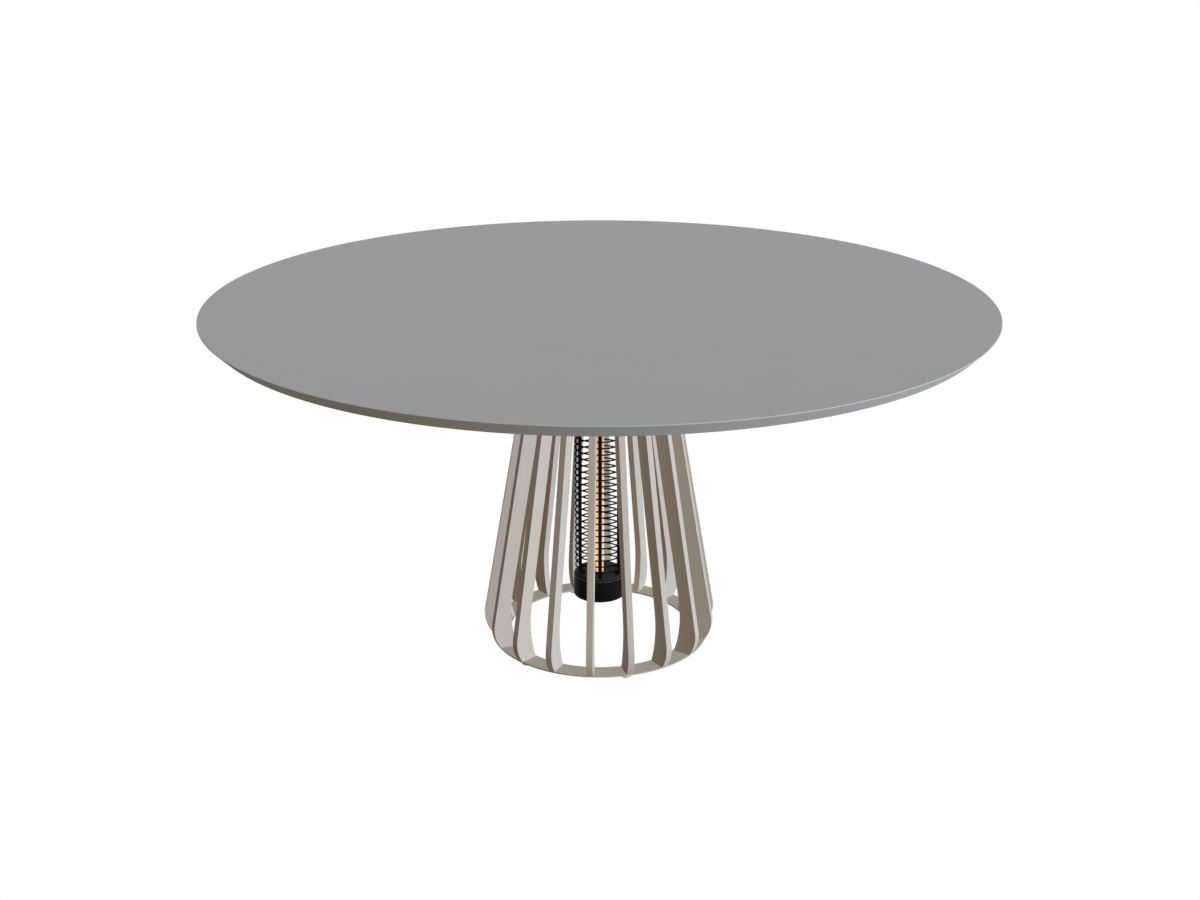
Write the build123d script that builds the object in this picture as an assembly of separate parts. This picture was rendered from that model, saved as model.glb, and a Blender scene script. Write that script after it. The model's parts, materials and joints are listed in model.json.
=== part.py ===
"""Round outdoor dining table: a disc top on a flared pedestal of slats, with a heater hung inside.

Millimetres, +Z up. The origin is on the floor, on the axis of the table. The front is towards -Y.
"""
import os
from math import sqrt

from build123d import *

# Table top: a disc whose rim is cut back underneath.
TABLE_H = 750.0
TOP_DIA = 1600.0
TOP_T = 26.0
TOP_LAND = 1.6
TOP_ARRIS = 0.8
TOP_BEVEL_W = 25.0

# Steel plate under the top, and the screws that hold the top down.
PLATE_DIA = 500.0
PLATE_T = 8.0
PLATE_EDGE = 2.0
TOP_SCREW_COUNT = 6
TOP_SCREW_PCD = 440.0
TOP_SCREW_D = 8.0
TOP_SCREW_HEAD_D = 15.0
TOP_SCREW_HEAD_H = 5.0
TOP_SCREW_DEPTH = 12.0

# Pedestal: slats on radial planes, welded between the plate and the floor ring.
SLAT_COUNT = 18
SLAT_TURN = -4.8
SLAT_T = 13.6
SLAT_TOP_OUT_R = 134.0
SLAT_TOP_IN_R = 102.0
SLAT_SWELL_OUT = 13.8
SLAT_SWELL_OUT_H = 55.4
SLAT_SWELL_IN = 11.8
SLAT_SWELL_IN_H = 120.0
SLAT_FOOT_SET = 2.5
RING_DIA = 470.0
RING_W = 40.5
RING_T = 3.0

# Levelling feet: a stem in every third slat carries a hexagon collar and a pad.
FOOT_COUNT = 6
FOOT_PAD_D = 25.0
FOOT_PAD_H = 7.0
FOOT_COLLAR_AF = 13.0
FOOT_COLLAR_H = 3.0
FOOT_STEM_D = 6.0
FOOT_STEM_L = 25.0
FOOT_STEM_SINK = 5.0

# Heater: two drums with stepped lids, and a wire cage between them.
HEATER_TURN = 1.3
DRUM_DIA = 111.0
DRUM_H = 46.0
DRUM_WALL = 2.0
DRUM_FLOOR = 2.5
DRUM_EDGE = 1.0
LID_FLANGE_T = 2.0
LID_STEP_H = 5.0
LID_STEP_DIA = 102.0
LID_SKIN = 2.0
LID_SPIGOT_H = 6.0
SPACER_L = 21.5
SPACER_OD = 12.0
BOSS_PCD = 76.0
BOSS_OD = 11.0
HANG_SCREW_D = 5.0
HANG_SCREW_BITE = 6.0
DRUM_SCREW_D = 4.0
DRUM_SCREW_BITE = 12.0
SCREW_HEAD_H = 2.6
CAGE_DIA = 105.0
CAGE_WIRE = 2.7
CAGE_SIDES = 18
RING_COUNT = 34
RING_PITCH = 14.1
BAR_COUNT = 6
BAR_W = 7.7
BAR_T = 3.5
BAR_TAB = 11.0
BAR_BEND_R = 1.0

# Lamp on the heater's axis, with its ceramic caps and holders.
LAMP_DIA = 22.0
LAMP_WALL = 1.2
LAMP_CAP_H = 15.0
LAMP_PLUG_H = 8.0
ELEMENT_DIA = 18.0
ELEMENT_PIN_D = 4.0
ELEMENT_MARGIN = 18.0
HOLDER_W = 34.0
HOLDER_H = 20.0
HOLDER_DEPTH = 12.0

# Fittings inside the upper drum.
TERMINAL_L = 24.0
TERMINAL_W = 14.0
TERMINAL_H = 12.0
TERMINAL_SLOT = 2.0
TERMINAL_PCD = 72.0
CUTOUT_DIA = 16.0
CUTOUT_H = 6.0
CUTOUT_CAN_DIA = 12.0
CUTOUT_CAN_H = 5.0
CUTOUT_PCD = 72.0
GLAND_DIA = 18.0
GLAND_NECK_D = 12.0
GLAND_BORE = 7.0
GLAND_FLANGE_T = 5.0
GLAND_COLLAR_L = 10.0
GLAND_COLLAR_D = 13.0
GLAND_NUT_T = 5.0

# Clearance each side of a screw, a spigot or a plug, and round the lamp in its lids.
FIT_GAP = 0.3
LAMP_GAP = 1.0

# Levels and radii that follow from the sizes above.
TOP_Z = TABLE_H - TOP_T
PLATE_Z = TOP_Z - PLATE_T
RING_Z = FOOT_PAD_H + FOOT_COLLAR_H
SLAT_Z = RING_Z + RING_T
RING_OUT_R = RING_DIA / 2
RING_IN_R = RING_OUT_R - RING_W
FOOT_R = RING_OUT_R - RING_W / 2
CAGE_L = (RING_COUNT + 1) * RING_PITCH
LID_H = LID_FLANGE_T + LID_STEP_H
UPPER_TOP_Z = PLATE_Z - SPACER_L
UPPER_RIM_Z = UPPER_TOP_Z - DRUM_H
CAGE_TOP_Z = UPPER_RIM_Z - LID_H
CAGE_Z = CAGE_TOP_Z - CAGE_L
LOWER_RIM_Z = CAGE_Z - LID_H
LOWER_Z = LOWER_RIM_Z - DRUM_H
DRUM_IN_R = DRUM_DIA / 2 - DRUM_WALL
SEAT_Z = LOWER_Z + DRUM_FLOOR + HOLDER_H - HOLDER_DEPTH
SEAT_TOP_Z = UPPER_TOP_Z - DRUM_FLOOR - HOLDER_H + HOLDER_DEPTH
TUBE_Z = SEAT_Z + LAMP_CAP_H
TUBE_TOP_Z = SEAT_TOP_Z - LAMP_CAP_H
BAR_R = CAGE_DIA / 2 - CAGE_WIRE

# Bearings about the axis, counted from +X. The front, -Y, is at -90 degrees.
FRONT = -90.0
SLAT_BEARINGS = [FRONT + SLAT_TURN + i * 360 / SLAT_COUNT for i in range(SLAT_COUNT)]
FOOT_BEARINGS = SLAT_BEARINGS[1 :: SLAT_COUNT // FOOT_COUNT]
BAR_BEARINGS = [FRONT + HEATER_TURN + i * 360 / BAR_COUNT for i in range(BAR_COUNT)]
BOSS_BEARINGS = [FRONT + HEATER_TURN + 30 + i * 120 for i in range(3)]
GLAND_BEARING = FRONT + HEATER_TURN + 180
TERMINAL_BEARING = FRONT + HEATER_TURN + 90
CUTOUT_BEARING = FRONT + HEATER_TURN + 210


def at(bearing, radius, z):
    """Location at a bearing, radius and height, turned so that its X axis points outwards."""
    return Rot(0, 0, bearing) * Pos(radius, 0, z)


def turned(*points):
    """Solid of revolution about Z, from (radius, height) points."""
    return revolve(make_face(Plane.XZ * Polyline(*points, close=True)), Axis.Z)


def post(diameter, length, z=0.0):
    """Upright cylinder that stands on height z."""
    return Pos(0, 0, z + length / 2) * Cylinder(diameter / 2, length)


def group(solids):
    """Separate solids kept together in one node."""
    return Compound(children=list(solids))


def table_top():
    """Disc with an undercut rim, a narrow chamfer round the top and a blind hole for each screw."""
    edge = TOP_DIA / 2
    rim_z = TABLE_H - TOP_LAND
    under = edge - TOP_BEVEL_W
    chamfer_z = TABLE_H - TOP_ARRIS
    disc = turned(
        (0, TOP_Z),
        (under, TOP_Z),
        (edge, rim_z),
        (edge, chamfer_z),
        (edge - TOP_ARRIS, TABLE_H),
        (0, TABLE_H),
    )
    hole = post(TOP_SCREW_D + 2 * FIT_GAP, TOP_SCREW_DEPTH + FIT_GAP, TOP_Z)
    return disc - [at(b, TOP_SCREW_PCD / 2, 0) * hole for b in top_screw_bearings()]


def top_screw_bearings():
    """Bearings of the screws between the plate and the top."""
    return [FRONT + i * 360 / TOP_SCREW_COUNT for i in range(TOP_SCREW_COUNT)]


def top_screw():
    """Hexagon screw, head up against the plate, shank up into the top."""
    head_face = RegularPolygon(TOP_SCREW_HEAD_D / 2, 6)
    head = extrude(Pos(0, 0, PLATE_Z - TOP_SCREW_HEAD_H) * head_face, TOP_SCREW_HEAD_H)
    return head + post(TOP_SCREW_D, PLATE_T + TOP_SCREW_DEPTH, PLATE_Z)


def top_plate():
    """Disc between the top and the slats, with holes for the top screws and the heater's screws."""
    edge = PLATE_DIA / 2
    chamfer_r = edge - PLATE_EDGE
    chamfer_z = PLATE_Z + PLATE_EDGE
    disc = turned((0, PLATE_Z), (chamfer_r, PLATE_Z), (edge, chamfer_z), (edge, TOP_Z), (0, TOP_Z))
    screw_hole = post(TOP_SCREW_D + 2 * FIT_GAP, PLATE_T, PLATE_Z)
    hang_hole = post(HANG_SCREW_D + 2 * FIT_GAP, PLATE_T, PLATE_Z)
    holes = [at(b, TOP_SCREW_PCD / 2, 0) * screw_hole for b in top_screw_bearings()]
    holes += [at(b, BOSS_PCD / 2, 0) * hang_hole for b in BOSS_BEARINGS]
    return disc - holes


def slat_outline():
    """Face of a slat on the XZ plane: two straight tapering edges that run on into tangent arcs."""
    top_out = Vector(SLAT_TOP_OUT_R, PLATE_Z)
    top_in = Vector(SLAT_TOP_IN_R, PLATE_Z)
    bend_out = Vector(RING_OUT_R + SLAT_SWELL_OUT, SLAT_Z + SLAT_SWELL_OUT_H)
    bend_in = Vector(RING_IN_R + SLAT_SWELL_IN, SLAT_Z + SLAT_SWELL_IN_H)
    foot_out = Vector(RING_OUT_R, SLAT_Z)
    foot_in = Vector(RING_IN_R + SLAT_FOOT_SET, SLAT_Z)
    outer = Line(top_out, bend_out)
    outer_bend = TangentArc(bend_out, foot_out, tangent=bend_out - top_out)
    foot = Line(foot_out, foot_in)
    inner_bend = TangentArc(bend_in, foot_in, tangent=bend_in - top_in)
    inner = Line(bend_in, top_in)
    end = Line(top_in, top_out)
    return make_face(Plane.XZ * Curve(children=[outer, outer_bend, foot, inner_bend, inner, end]))


def slat(bearing):
    """Flat plate on a radial plane. Those over a foot have a hole for its stem."""
    plate = extrude(slat_outline(), SLAT_T / 2, both=True)
    if bearing in FOOT_BEARINGS:
        depth = FOOT_STEM_L - RING_T + FIT_GAP
        plate -= Pos(FOOT_R, 0, 0) * post(FOOT_STEM_D + 2 * FIT_GAP, depth, SLAT_Z)
    return Rot(0, 0, bearing) * plate


def floor_ring():
    """Flat ring under the slats, with a hole for each foot's stem."""
    ring = post(RING_DIA, RING_T, RING_Z) - post(2 * RING_IN_R, RING_T, RING_Z)
    hole = post(FOOT_STEM_D + 2 * FIT_GAP, RING_T, RING_Z)
    return ring - [at(b, FOOT_R, 0) * hole for b in FOOT_BEARINGS]


def foot_pad():
    """Round pad on the floor, with a blind socket for the stem."""
    socket_depth = FOOT_STEM_SINK + FIT_GAP
    socket = post(FOOT_STEM_D + 2 * FIT_GAP, socket_depth, FOOT_PAD_H - socket_depth)
    return post(FOOT_PAD_D, FOOT_PAD_H) - socket


def foot_stem():
    """Stem with the hexagon collar that stops against the floor ring."""
    collar_face = RegularPolygon(FOOT_COLLAR_AF / 2, 6, major_radius=False)
    collar = extrude(Pos(0, 0, FOOT_PAD_H) * collar_face, FOOT_COLLAR_H)
    length = FOOT_STEM_SINK + FOOT_COLLAR_H + FOOT_STEM_L
    return collar + post(FOOT_STEM_D, length, FOOT_PAD_H - FOOT_STEM_SINK)


def drum(hole_d):
    """Cup with a chamfered base edge, standing on height 0, with a hole for each of its screws."""
    edge = DRUM_DIA / 2
    cup = turned(
        (0, 0),
        (edge - DRUM_EDGE, 0),
        (edge, DRUM_EDGE),
        (edge, DRUM_H),
        (DRUM_IN_R, DRUM_H),
        (DRUM_IN_R, DRUM_FLOOR),
        (0, DRUM_FLOOR),
    )
    hole = post(hole_d, DRUM_FLOOR)
    return cup - [at(b, BOSS_PCD / 2, 0) * hole for b in BOSS_BEARINGS]


def lid(bore_d, hole_z):
    """Stepped lid for a drum whose rim is at height 0: flange, raised face, spigot and three bosses.

    The bosses reach down to the floor of the drum. Their bores run from there up to hole_z.
    """
    bore_r = LAMP_DIA / 2 + LAMP_GAP
    face_r = LID_STEP_DIA / 2
    edge_r = DRUM_DIA / 2
    spigot_r = DRUM_IN_R - FIT_GAP
    spigot_in_r = spigot_r - LID_SKIN
    under_r = min(face_r, spigot_in_r) - LID_SKIN
    under_z = LID_H - LID_SKIN
    shell = turned(
        (bore_r, LID_H),
        (face_r, LID_H),
        (face_r, LID_FLANGE_T),
        (edge_r, LID_FLANGE_T),
        (edge_r, 0),
        (spigot_r, 0),
        (spigot_r, -LID_SPIGOT_H),
        (spigot_in_r, -LID_SPIGOT_H),
        (spigot_in_r, 0),
        (under_r, 0),
        (under_r, under_z),
        (bore_r, under_z),
    )
    boss_z = DRUM_FLOOR - DRUM_H
    boss = post(BOSS_OD, under_z - boss_z, boss_z)
    bore = post(bore_d, hole_z - boss_z, boss_z)
    shell += [at(b, BOSS_PCD / 2, 0) * boss for b in BOSS_BEARINGS]
    return shell - [at(b, BOSS_PCD / 2, 0) * bore for b in BOSS_BEARINGS]


def lower_drum():
    """Cup at the foot of the heater."""
    return Pos(0, 0, LOWER_Z) * drum(DRUM_SCREW_D + 2 * FIT_GAP)


def lower_lid():
    """Lid of the lower drum, with blind bores for the screws from below."""
    depth_z = DRUM_FLOOR - DRUM_H + DRUM_SCREW_BITE + FIT_GAP
    return Pos(0, 0, LOWER_RIM_Z) * lid(DRUM_SCREW_D + 2 * FIT_GAP, depth_z)


def drum_screw():
    """Screw up through the floor of the lower drum into a boss of its lid."""
    head = post(2 * DRUM_SCREW_D, SCREW_HEAD_H, LOWER_Z - SCREW_HEAD_H)
    return head + post(DRUM_SCREW_D, DRUM_FLOOR + DRUM_SCREW_BITE, LOWER_Z)


def flip(shape, z):
    """Shape turned upside down about the X axis, with its height 0 put at height z."""
    return Pos(0, 0, z) * mirror(shape, Plane.XY)


def gland_hole():
    """Cylinder through the wall of the upper drum, for the cable gland."""
    reach = DRUM_DIA / 2
    hole = Pos(reach, 0, 0) * Rot(0, 90, 0) * Cylinder(GLAND_NECK_D / 2 + FIT_GAP, 2 * DRUM_IN_R)
    return Pos(0, 0, UPPER_RIM_Z + DRUM_H / 2) * Rot(0, 0, GLAND_BEARING) * Pos(DRUM_IN_R / 2, 0, 0) * hole


def upper_drum():
    """Cup at the head of the heater, mouth downwards, with the hole for the cable gland."""
    return flip(drum(HANG_SCREW_D + 2 * FIT_GAP), UPPER_TOP_Z) - gland_hole()


def upper_lid():
    """Lid of the upper drum, with through bores for the screws that hang the heater."""
    return flip(lid(HANG_SCREW_D + 2 * FIT_GAP, LID_H), UPPER_RIM_Z)


def spacer():
    """Tube that holds the upper drum clear of the plate."""
    return post(SPACER_OD, SPACER_L, UPPER_TOP_Z) - post(HANG_SCREW_D + 2 * FIT_GAP, SPACER_L, UPPER_TOP_Z)


def hang_screw():
    """Long screw, head under the upper lid, up through boss, drum and spacer into the plate."""
    head = post(2 * HANG_SCREW_D, SCREW_HEAD_H, CAGE_TOP_Z - SCREW_HEAD_H)
    return head + post(HANG_SCREW_D, PLATE_Z + HANG_SCREW_BITE - CAGE_TOP_Z, CAGE_TOP_Z)


def cage_ring(z):
    """One ring of the cage, faceted so that a flat lies on the outer face of each bar."""
    outer = RegularPolygon(CAGE_DIA / 2, CAGE_SIDES, major_radius=False, rotation=180 / CAGE_SIDES)
    inner = RegularPolygon(BAR_R, CAGE_SIDES, major_radius=False, rotation=180 / CAGE_SIDES)
    ring = extrude(outer - inner, CAGE_WIRE / 2, both=True)
    return Rot(0, 0, BAR_BEARINGS[0]) * Pos(0, 0, z) * ring


def cage_bar(bearing):
    """Flat bar with both ends bent inwards onto the lids."""
    inner_r = BAR_R - BAR_T
    tab_r = BAR_R - BAR_TAB
    low = CAGE_Z + BAR_T
    high = CAGE_TOP_Z - BAR_T
    outline = Polyline(
        (tab_r, CAGE_Z),
        (BAR_R, CAGE_Z),
        (BAR_R, CAGE_TOP_Z),
        (tab_r, CAGE_TOP_Z),
        (tab_r, high),
        (inner_r, high),
        (inner_r, low),
        (tab_r, low),
        close=True,
    )
    face = make_face(outline)
    corners = face.vertices().filter_by(lambda v: v.X > inner_r + BAR_T / 2)
    face = fillet(corners, BAR_BEND_R + BAR_T)
    corners = face.vertices().filter_by(lambda v: abs(v.X - inner_r) < BAR_T / 4)
    face = fillet(corners, BAR_BEND_R)
    return Rot(0, 0, bearing) * extrude(Plane.XZ * face, BAR_W / 2, both=True)


def quartz_tube():
    """Open tube between the two caps of the lamp."""
    length = TUBE_TOP_Z - TUBE_Z
    return post(LAMP_DIA, length, TUBE_Z) - post(LAMP_DIA - 2 * LAMP_WALL, length, TUBE_Z)


def lamp_cap():
    """Ceramic cap that closes the tube, standing on height 0: body and plug."""
    plug_d = LAMP_DIA - 2 * LAMP_WALL - 2 * FIT_GAP
    return post(LAMP_DIA, LAMP_CAP_H) + post(plug_d, LAMP_PLUG_H, LAMP_CAP_H)


def lamp_holder():
    """Square ceramic block with a round socket for a cap, standing on height 0."""
    block = Pos(0, 0, HOLDER_H / 2) * Box(HOLDER_W, HOLDER_W, HOLDER_H)
    socket = post(LAMP_DIA + 2 * FIT_GAP, HOLDER_DEPTH, HOLDER_H - HOLDER_DEPTH)
    return Rot(0, 0, HEATER_TURN) * (block - socket)


def heating_element():
    """Glowing core of the lamp, on a pin that stands between the plugs of the caps."""
    pin_z = TUBE_Z + LAMP_PLUG_H
    pin_top_z = TUBE_TOP_Z - LAMP_PLUG_H
    core_z = TUBE_Z + ELEMENT_MARGIN
    core = post(ELEMENT_DIA, TUBE_TOP_Z - TUBE_Z - 2 * ELEMENT_MARGIN, core_z)
    return core + post(ELEMENT_PIN_D, pin_top_z - pin_z, pin_z)


def terminal_block():
    """Block under the top wall of the upper drum, slotted from below into three poles."""
    z = UPPER_TOP_Z - DRUM_FLOOR - TERMINAL_H / 2
    block = Box(TERMINAL_W, TERMINAL_L, TERMINAL_H)
    slot = Box(TERMINAL_W, TERMINAL_SLOT, TERMINAL_H)
    block -= [Pos(0, side * TERMINAL_L / 6, -TERMINAL_H / 3) * slot for side in (-1, 1)]
    return at(TERMINAL_BEARING, TERMINAL_PCD / 2, z) * block


def thermal_cutout():
    """Disc thermostat that stands on the inner face of the upper lid."""
    base_z = UPPER_RIM_Z - LID_H + LID_SKIN
    body = post(CUTOUT_DIA, CUTOUT_H, base_z) + post(CUTOUT_CAN_DIA, CUTOUT_CAN_H, base_z + CUTOUT_H)
    return at(CUTOUT_BEARING, CUTOUT_PCD / 2, 0) * body


def cable_gland():
    """Gland through the wall of the upper drum: hexagon nut inside, neck, hexagon and collar outside."""
    wall_r = DRUM_DIA / 2
    corner_r = GLAND_DIA / 2
    nut_x = sqrt(DRUM_IN_R**2 - corner_r**2) - GLAND_NUT_T
    collar_x = wall_r + GLAND_FLANGE_T
    end_x = collar_x + GLAND_COLLAR_L
    hexagon = RegularPolygon(corner_r, 6)
    body = extrude(Pos(0, 0, nut_x) * hexagon, GLAND_NUT_T)
    body += post(GLAND_NECK_D, wall_r - nut_x, nut_x)
    body += extrude(Pos(0, 0, wall_r) * hexagon, GLAND_FLANGE_T)
    body += post(GLAND_COLLAR_D, GLAND_COLLAR_L, collar_x)
    body -= post(GLAND_BORE, end_x - nut_x, nut_x)
    return at(GLAND_BEARING, 0, UPPER_RIM_Z + DRUM_H / 2) * Rot(0, 90, 0) * body


def nodes():
    """Every node of the table, by name."""
    found = {"table_top": table_top(), "top_plate": top_plate(), "floor_ring": floor_ring()}
    screws_at = [at(b, TOP_SCREW_PCD / 2, 0) for b in top_screw_bearings()]
    bosses_at = [at(b, BOSS_PCD / 2, 0) for b in BOSS_BEARINGS]
    found["top_screws"] = group(place * top_screw() for place in screws_at)
    for i, bearing in enumerate(SLAT_BEARINGS):
        found[f"slat_{i + 1:02d}"] = slat(bearing)
    for i, bearing in enumerate(FOOT_BEARINGS):
        found[f"foot_pad_{i + 1}"] = at(bearing, FOOT_R, 0) * foot_pad()
        found[f"foot_stem_{i + 1}"] = at(bearing, FOOT_R, 0) * foot_stem()
    found["heater_spacers"] = group(place * spacer() for place in bosses_at)
    found["heater_screws"] = group(place * hang_screw() for place in bosses_at)
    found["upper_drum"] = upper_drum()
    found["upper_lid"] = upper_lid()
    found["lower_drum"] = lower_drum()
    found["lower_lid"] = lower_lid()
    found["drum_screws"] = group(place * drum_screw() for place in bosses_at)
    found["cage_rings"] = group(cage_ring(CAGE_Z + (i + 1) * RING_PITCH) for i in range(RING_COUNT))
    for i, bearing in enumerate(BAR_BEARINGS):
        found[f"cage_bar_{i + 1}"] = cage_bar(bearing)
    found["quartz_tube"] = quartz_tube()
    found["heating_element"] = heating_element()
    found["lamp_cap_lower"] = Pos(0, 0, SEAT_Z) * lamp_cap()
    found["lamp_cap_upper"] = flip(lamp_cap(), SEAT_TOP_Z)
    found["lamp_holder_lower"] = Pos(0, 0, LOWER_Z + DRUM_FLOOR) * lamp_holder()
    found["lamp_holder_upper"] = flip(lamp_holder(), UPPER_TOP_Z - DRUM_FLOOR)
    found["terminal_block"] = terminal_block()
    found["thermal_cutout"] = thermal_cutout()
    found["cable_gland"] = cable_gland()
    return found


os.makedirs("parts", exist_ok=True)
for name, shape in nodes().items():
    export_step(shape, f"parts/{name}.step")
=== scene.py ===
"""Looks of a round outdoor dining table: grey top, flared pedestal of taupe slats, caged heater inside.

Metres, +Z up, origin on the floor on the axis of the table, front towards -Y.
The constants whose names end in TURN are in degrees.
"""
import json
from math import pi, radians

import bpy
import numpy as np
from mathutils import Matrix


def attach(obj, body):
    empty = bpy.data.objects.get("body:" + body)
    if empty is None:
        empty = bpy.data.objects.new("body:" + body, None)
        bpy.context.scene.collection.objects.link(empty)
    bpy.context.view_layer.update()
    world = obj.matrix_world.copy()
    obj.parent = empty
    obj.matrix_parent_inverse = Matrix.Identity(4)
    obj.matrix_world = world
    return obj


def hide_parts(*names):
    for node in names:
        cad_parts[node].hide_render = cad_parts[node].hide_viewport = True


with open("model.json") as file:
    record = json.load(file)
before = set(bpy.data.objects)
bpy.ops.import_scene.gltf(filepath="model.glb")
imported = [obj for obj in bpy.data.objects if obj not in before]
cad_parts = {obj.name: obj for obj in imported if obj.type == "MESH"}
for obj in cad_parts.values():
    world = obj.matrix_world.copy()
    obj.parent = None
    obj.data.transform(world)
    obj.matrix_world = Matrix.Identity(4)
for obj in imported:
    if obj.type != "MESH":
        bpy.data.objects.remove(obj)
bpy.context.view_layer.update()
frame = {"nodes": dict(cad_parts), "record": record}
nodes = frame["nodes"]
scene = bpy.context.scene

# Table top and plate
TABLE_H = 0.750
TOP_R = 0.800
TOP_T = 0.026
TOP_LAND = 0.0016
TOP_BEVEL_W = 0.025
TOP_ARRIS_R = 0.0010
TOP_LAND_EDGE_R = 0.0005
TOP_UNDER_EDGE_R = 0.002
TOP_PALE_RIM_REACH = 0.0012
TOP_POLE_R = 0.004
TOP_COLUMNS = 384
PLATE_T = 0.008
PLATE_Z = TABLE_H - TOP_T - PLATE_T

# Slats, with a pair of values for the inner and outer edge, and the floor ring under them
SLAT_COUNT = 18
SLAT_TURN = -4.8
SLAT_T = 0.0136
SLAT_EDGE_R = 0.0006
SLAT_EDGE_HOLD = 0.0004
SLAT_EDGE_RUB_AND_HIGHLIGHT = 0.1
SLAT_EDGE_STEPS = 5
SLAT_TOP_R = (0.102, 0.134)
SLAT_BEND_R = (0.2063, 0.2488)
SLAT_BEND_Z = (0.133, 0.0684)
SLAT_FOOT_R = (0.197, 0.235)
SLAT_CURVE_TOP_Z = 0.134
SLAT_STRAIGHT_Z = 0.15
SLAT_CURVE_ROWS = 36
SLAT_STRAIGHT_ROWS = 14
RING_Z = 0.010
RING_T = 0.003
SLAT_Z = RING_Z + RING_T

# Levelling feet, under every third slat
FOOT_CIRCLE_R = 0.21475
PAD_R = 0.0125
PAD_H = 0.007
PAD_SOLE_EDGE_R = 0.0022
PAD_RIM_EDGE_R = 0.0012
PAD_COLUMNS = 64
COLLAR_FLATS = 0.013
COLLAR_CHAMFER = 0.0004
STEM_R = 0.003
STEM_SINK = 0.001
STEM_TOP_Z = 0.0349
STEM_PITCH = 0.001
STEM_THREAD = 0.00035

# Cage, between the two lids
LOWER_Z = 0.095
DRUM_H = 0.046
LID_H = 0.007
RING_COUNT = 34
RING_PITCH = 0.0141
WIRE_R = 0.0016
WIRE_PATH_R = 0.05115
WIRE_SIDES = 10
WIRE_COLUMNS = 96
LOWER_RIM_Z = LOWER_Z + DRUM_H
CAGE_Z = LOWER_RIM_Z + LID_H
CAGE_TOP_Z = CAGE_Z + (RING_COUNT + 1) * RING_PITCH

# Heater drums and lids
HEATER_TURN = 1.3
UPPER_RIM_Z = CAGE_TOP_Z + LID_H
UPPER_TOP_Z = UPPER_RIM_Z + DRUM_H
DRUM_R = 0.0555
DRUM_WALL = 0.002
DRUM_FLOOR = 0.0025
DRUM_BASE_EDGE_R = 0.0012
DRUM_MOUTH_EDGE_R = 0.0004
DRUM_INSIDE_EDGE_R = 0.001
DRUM_COLUMNS = 160
LID_T = 0.002
LID_FACE_R = 0.051
LID_FACE_TAPER = 0.0007
LID_INSIDE_R = 0.049
LID_BORE_R = 0.012
LID_BORE_EDGE_R = 0.0005
LID_FACE_EDGE_R = 0.0008
LID_STEP_EDGE_R = 0.0004
LID_FLANGE_EDGE_R = 0.0008
LID_RIM_EDGE_R = 0.0003
SPIGOT_GAP = 0.0003
SPIGOT_H = 0.006
SPIGOT_T = 0.002
RIM_HIGHLIGHT_REACH = 0.0035
RUB_AND_HIGHLIGHT_STEP = (0.30, 0.62)
ROUND_STEP = 0.0007

# Lamp
TUBE_Z = (0.1205, 0.669)
LAMP_R = 0.011
LAMP_WALL = 0.0012
TUBE_ROWS = 12
TUBE_COLUMNS = 72
COIL_END = 0.018
COIL_PITCH = 0.00705
COIL_R = 0.0084
COIL_HALF_T = 0.0006
COIL_HALF_W = 0.0026
COIL_STEPS = 28
COIL_SIDES = 8
PIN_R = 0.002
PIN_EDGE_R = 0.0006
PIN_POLE_R = 0.0002
PIN_START = 0.008
PIN_END = 0.020
PIN_COLUMNS = 20

# Screws
TOP_SCREW_COUNT = 6
TOP_SCREW_CIRCLE_R = 0.220
BOLT_FLATS = 0.013
BOLT_HEAD_H = 0.005
BOLT_HEAD_TOP = 0.0008
BOLT_CHAMFER = 0.0006
BOLT_R = 0.004
BOLT_SINK = 0.001
BOLT_TOP_Z = 0.7359
BOLT_PITCH = 0.00125
BOLT_THREAD = 0.0004
WASHER_R = 0.0085
WASHER_BORE_R = 0.0042
WASHER_T = 0.0012
WASHER_COLUMNS = 40
BOSS_COUNT = 3
BOSS_TURN = 30
BOSS_CIRCLE_R = 0.038
BUTTON_H = 0.0026
BUTTON_SINK = 0.0005
BUTTON_COLUMNS = 32
DRUM_SCREW_R = 0.002
DRUM_SCREW_HEAD_R = 0.004
DRUM_SCREW_TOP_Z = 0.1094
DRUM_SCREW_PITCH = 0.0007
DRUM_SCREW_THREAD = 0.0002
HANG_SCREW_R = 0.0025
HANG_SCREW_HEAD_R = 0.005
HANG_SCREW_TOP_Z = 0.7219
HANG_SCREW_PITCH = 0.0008
HANG_SCREW_THREAD = 0.00025

# Shared by turned skins, hexagons and threads
POLE_R = 0.0005
HEAD_POLE_R = 0.0003
HEXAGON_COLUMNS = 72
HEXAGON_POLE_SHARE = 0.5
CHAMFER_RUN = 1.7
THREAD_COLUMNS = 20
THREAD_ROWS = 6
THREAD_DEEPEST = 1.6

# Stage and camera, with angles in degrees
FLOOR_REACH = 60.0
FLOOR_NEAR = 0.25
FLOOR_FAR = 0.85
FLOOR_NEAR_WHITE = 0.80
FLOOR_BOUNCE = (0.205, 0.175, 0.13, 1)
WORLD_FILL = (1.0, 0.70, 0.45, 1)
WORLD_LEVEL = 0.04
WHITE = (1, 1, 1, 1)
EYE = (0.001, -3.1524, 1.5548)
EYE_DOWN = 19.745
EYE_LENS = 47.636
EYE_SENSOR = 36.0
EYE_FAR = 200.0

# Bearings, anticlockwise from +X as seen from above: FRONT in degrees, the rest in radians
FRONT = -90
SLAT_BEARINGS = radians(FRONT + SLAT_TURN) + np.arange(SLAT_COUNT) * 2 * pi / SLAT_COUNT
FOOT_BEARINGS = SLAT_BEARINGS[1::3]
BOSS_BEARINGS = radians(FRONT + HEATER_TURN + BOSS_TURN) + np.arange(BOSS_COUNT) * 2 * pi / BOSS_COUNT
TOP_SCREW_BEARINGS = radians(FRONT) + np.arange(TOP_SCREW_COUNT) * 2 * pi / TOP_SCREW_COUNT


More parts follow.
